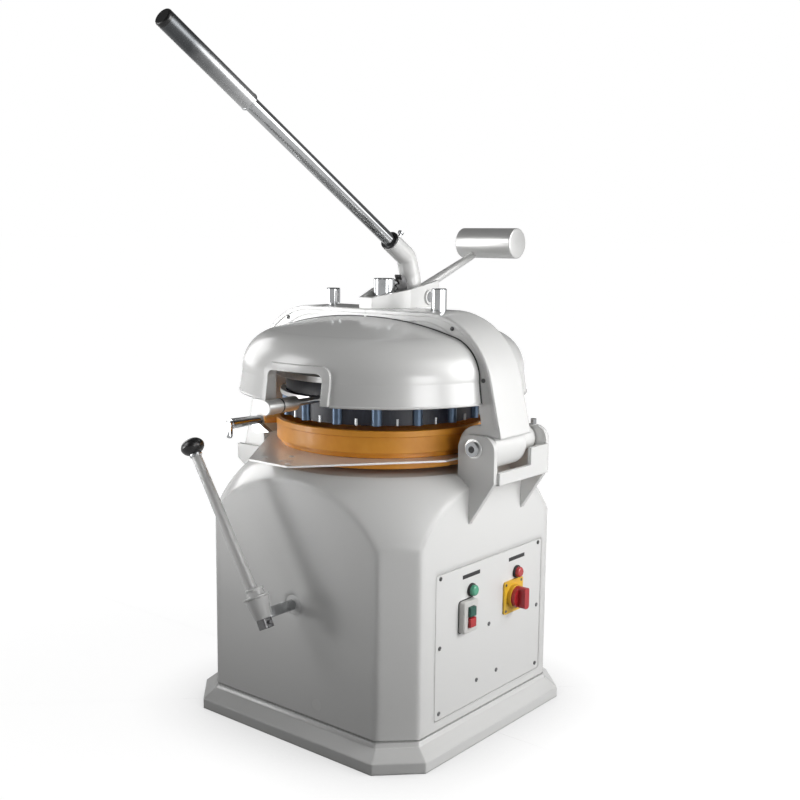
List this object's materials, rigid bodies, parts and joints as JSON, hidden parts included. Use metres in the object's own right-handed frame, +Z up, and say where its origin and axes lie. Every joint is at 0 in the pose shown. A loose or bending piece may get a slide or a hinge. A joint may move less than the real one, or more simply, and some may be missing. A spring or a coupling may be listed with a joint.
{
  "type": "dough divider rounder",
  "caption": "Free-standing bakery machine with a long press lever, a domed tilting head of knives and pistons, and an orbiting plate that rounds the divided dough.",
  "frame": {"origin": "centre of the plinth's flat underside, on the floor", "axes": "+Z up along the machine's vertical axis, -Y towards the operator, +X towards the side with the switches"},
  "size_m": [0.748, 0.9898, 1.4184],
  "materials": {
    "white_enamel": "gloss",
    "chrome": "polished",
    "stainless": "satin",
    "cast_aluminium": "satin",
    "orange_plastic": "satin",
    "navy_drum": "satin",
    "blue_post": "gloss",
    "black_plastic": "satin",
    "green_plastic": "gloss",
    "red_plastic": "gloss",
    "yellow_plastic": "gloss",
    "grey_plastic": "satin",
    "grip_rubber": "satin",
    "machine_iron": "satin",
    "belt_rubber": "matte",
    "bronze": "satin"
  },
  "bodies": {
    "frame": {"base_plinth": "white_enamel", "body_housing": "white_enamel", "side_panel": "white_enamel", "panel_screws": "chrome", "label_plates": "black_plastic", "lamp_bezels": "black_plastic", "green_lens": "green_plastic", "red_lens": "red_plastic", "button_station": "grey_plastic", "isolator_plate": "yellow_plastic", "hinge_bracket": "white_enamel", "hinge_pin": "chrome", "stop_bolts": "chrome", "lock_bracket": "white_enamel", "lever_bush": "bronze", "bearing_housing": "machine_iron", "motor_body": "machine_iron", "drive_belt": "belt_rubber"},
    "head": {"arch_frame": "white_enamel", "front_dome": "white_enamel", "rear_dome": "white_enamel", "dome_screws": "chrome", "lever_bracket": "white_enamel", "head_plate": "cast_aluminium", "divider_drum": "navy_drum", "divider_posts": "blue_post", "divider_pins": "chrome"},
    "press_lever": {"lever_arm": "white_enamel", "lever_shaft": "chrome", "lever_tube": "chrome", "lever_grip": "grip_rubber", "grip_plug": "black_plastic", "clamp_screw": "chrome", "counterweight": "white_enamel", "counterweight_arm": "white_enamel"},
    "ram": {"press_rod": "chrome", "ram_plate": "cast_aluminium", "pistons": "cast_aluminium"},
    "knife_basket": {"knife_grid": "stainless", "guide_column": "chrome"},
    "cut_lever": {"lock_ring": "stainless", "cut_handle": "cast_aluminium"},
    "weight_adjuster": {"weight_knob": "chrome"},
    "head_clamp": {"clamp_shaft": "chrome", "clamp_handle": "chrome"},
    "rounding_lever": {"round_shaft": "chrome", "round_hub": "white_enamel", "hub_collars": "chrome", "round_rod": "white_enamel", "round_ball": "black_plastic"},
    "drive_shaft": {"eccentric_shaft": "machine_iron", "drive_pulley": "machine_iron"},
    "orbit_table": {"carrier_disc": "orange_plastic", "carrier_sheet": "stainless"},
    "dough_plate": {"moulding_plate": "orange_plastic"},
    "motor_rotor": {"motor_pulley": "machine_iron"},
    "start_push": {"start_button": "green_plastic"},
    "stop_push": {"stop_button": "red_plastic"},
    "isolator_switch": {"isolator_knob": "red_plastic"}
  },
  "joints": [
    {"name": "head_tilt", "type": "hinge", "parent": "frame", "child": "head", "pos_m": [0.3, 0, 0.618], "axis": [0, 1, 0], "range_deg": [0, 60]},
    {"name": "press_lever_swing", "type": "hinge", "parent": "head", "child": "press_lever", "pos_m": [0, 0.09, 0.906], "axis": [1, 0, 0], "range_deg": [0, 45]},
    {"name": "ram_stroke", "type": "slide", "parent": "head", "child": "ram", "axis": [0, 0, -1], "range_m": [0, 0.0475]},
    {"name": "knife_stroke", "type": "slide", "parent": "head", "child": "knife_basket", "axis": [0, 0, -1], "range_m": [0, 0.0495]},
    {"name": "cut_swing", "type": "hinge", "parent": "head", "child": "cut_lever", "pos_m": [0, 0, 0.705], "axis": [0, 0, 1], "range_deg": [-9, 9]},
    {"name": "weight_turn", "type": "hinge", "parent": "head", "child": "weight_adjuster", "pos_m": [-0.15, 0, 0.9], "axis": [0, 0, 1], "range_deg": [-180, 180]},
    {"name": "clamp_turn", "type": "hinge", "parent": "head", "child": "head_clamp", "pos_m": [-0.328, -0.1, 0.608], "axis": [0, 1, 0], "range_deg": [0, 60]},
    {"name": "rounding_swing", "type": "hinge", "parent": "frame", "child": "rounding_lever", "pos_m": [0.006, -0.3, 0.286], "axis": [0, 1, 0], "range_deg": [0, 50]},
    {"name": "table_drive", "type": "hinge", "parent": "frame", "child": "drive_shaft", "pos_m": [0, 0.01, 0.45], "axis": [0, 0, 1], "continuous": true},
    {"name": "table_orbit", "type": "hinge", "parent": "drive_shaft", "child": "orbit_table", "pos_m": [0, 0, 0.58], "axis": [0, 0, 1], "continuous": true},
    {"name": "plate_slide", "type": "slide", "parent": "orbit_table", "child": "dough_plate", "axis": [0, -1, 0], "range_m": [0, 0.1]},
    {"name": "motor_turn", "type": "hinge", "parent": "frame", "child": "motor_rotor", "pos_m": [-0.06, 0.178, 0.3], "axis": [0, 0, 1], "continuous": true},
    {"name": "start_press", "type": "slide", "parent": "frame", "child": "start_push", "axis": [-1, 0, 0], "range_m": [0, 0.004], "stiffness_N_per_m": 400},
    {"name": "stop_press", "type": "slide", "parent": "frame", "child": "stop_push", "axis": [-1, 0, 0], "range_m": [0, 0.004], "stiffness_N_per_m": 400},
    {"name": "isolator_turn", "type": "hinge", "parent": "frame", "child": "isolator_switch", "pos_m": [0.31, 0.092, 0.272], "axis": [1, 0, 0], "range_deg": [0, 90]}
  ],
  "couplings": [
    {"joint": "ram_stroke", "follows": "press_lever_swing", "m_per_rad": 0.06},
    {"joint": "knife_stroke", "follows": "press_lever_swing", "m_per_rad": 0.062389},
    {"joint": "table_orbit", "follows": "table_drive", "ratio": -1},
    {"joint": "motor_turn", "follows": "table_drive", "ratio": 3.4375}
  ]
}
